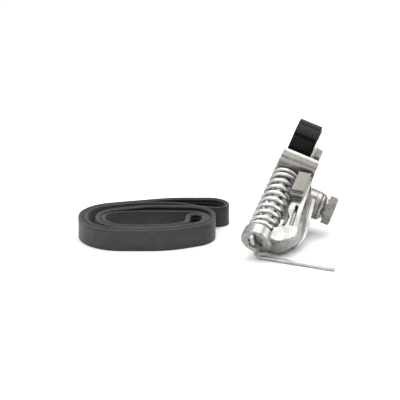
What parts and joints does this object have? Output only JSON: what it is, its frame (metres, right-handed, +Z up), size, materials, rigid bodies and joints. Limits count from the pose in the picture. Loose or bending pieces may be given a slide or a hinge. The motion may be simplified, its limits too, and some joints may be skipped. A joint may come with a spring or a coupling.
{
  "type": "belt tensioner and drive belt kit",
  "caption": "Spring-loaded belt tensioner lying on its locking pin, with a black pulley and a wrench hexagon, beside a ribbed drive belt rolled up on edge.",
  "frame": {"origin": "on the floor, under the middle of the box round the whole kit as it lies", "axes": "+Z up, +X from the rolled belt towards the tensioner, along the kit's longest side, +Y away from the end with the locking pin"},
  "size_m": [0.2662, 0.167, 0.1138],
  "materials": {
    "cast_aluminium": "die cast, satin, blasted",
    "spring_steel": "bright peened spring wire",
    "zinc_steel": "zinc plated, slightly dull",
    "bearing_steel": "ground",
    "shield_steel": "pressed sheet, satin",
    "sintered_bronze": "oil filled bearing bronze",
    "black_pulley": "moulded, polished running face",
    "damping_polymer": "filled nylon",
    "seal_rubber": "black nitrile",
    "belt_rubber": "ground rubber, matt, fabric backed",
    "pin_wire": "drawn wire"
  },
  "bodies": {
    "base": {"base_bracket": "cast_aluminium", "mounting_sleeves": "zinc_steel", "rod_bush": "sintered_bronze", "guide_rod": "zinc_steel", "near_spring_seat": "zinc_steel", "compression_spring": "spring_steel", "pivot_bush": "sintered_bronze", "friction_washer": "damping_polymer", "bearing_cap": "cast_aluminium", "pivot_seal": "seal_rubber", "thrust_ring": "zinc_steel"},
    "lever": {"lever_arm": "cast_aluminium", "pivot_bolt": "zinc_steel", "far_spring_seat": "zinc_steel", "bearing_inner_ring": "bearing_steel", "bearing_sleeve": "zinc_steel", "spacer_washer": "zinc_steel", "shield_spacer": "zinc_steel", "dust_shield": "shield_steel", "pulley_bolt": "zinc_steel"},
    "pulley_wheel": {"pulley": "black_pulley", "bearing_outer_ring": "bearing_steel", "bearing_seals": "seal_rubber"},
    "ball_ring": {"bearing_balls": "bearing_steel", "bearing_cage": "damping_polymer"},
    "locking_pin": {"lock_pin": "pin_wire"},
    "belt": {"ribbed_belt": "belt_rubber"}
  },
  "joints": [
    {"name": "lever_pivot", "type": "hinge", "parent": "base", "child": "lever", "pos_m": [0.09841, 0.0326, 0.03347], "axis": [-0.9174, 0.2106, 0.3375], "range_deg": [-3, 20], "deforming": ["compression_spring"]},
    {"name": "pulley_spin", "type": "hinge", "parent": "lever", "child": "pulley_wheel", "pos_m": [0.09456, 0.05181, 0.08183], "axis": [0.9174, -0.2106, -0.3375], "continuous": true},
    {"name": "ball_ring_spin", "type": "hinge", "parent": "lever", "child": "ball_ring", "pos_m": [0.09456, 0.05181, 0.08183], "axis": [0.9174, -0.2106, -0.3375], "continuous": true},
    {"name": "pin_slide", "type": "slide", "parent": "base", "child": "locking_pin", "axis": [0.2129, 0.4566, -0.8638], "range_m": [0, 0.034]},
    {"name": "belt_lift", "type": "slide", "parent": "base", "child": "belt", "axis": [0, 0, 1], "range_m": [0, 0.06]}
  ],
  "couplings": [
    {"joint": "ball_ring_spin", "follows": "pulley_spin", "ratio": 0.6158}
  ]
}
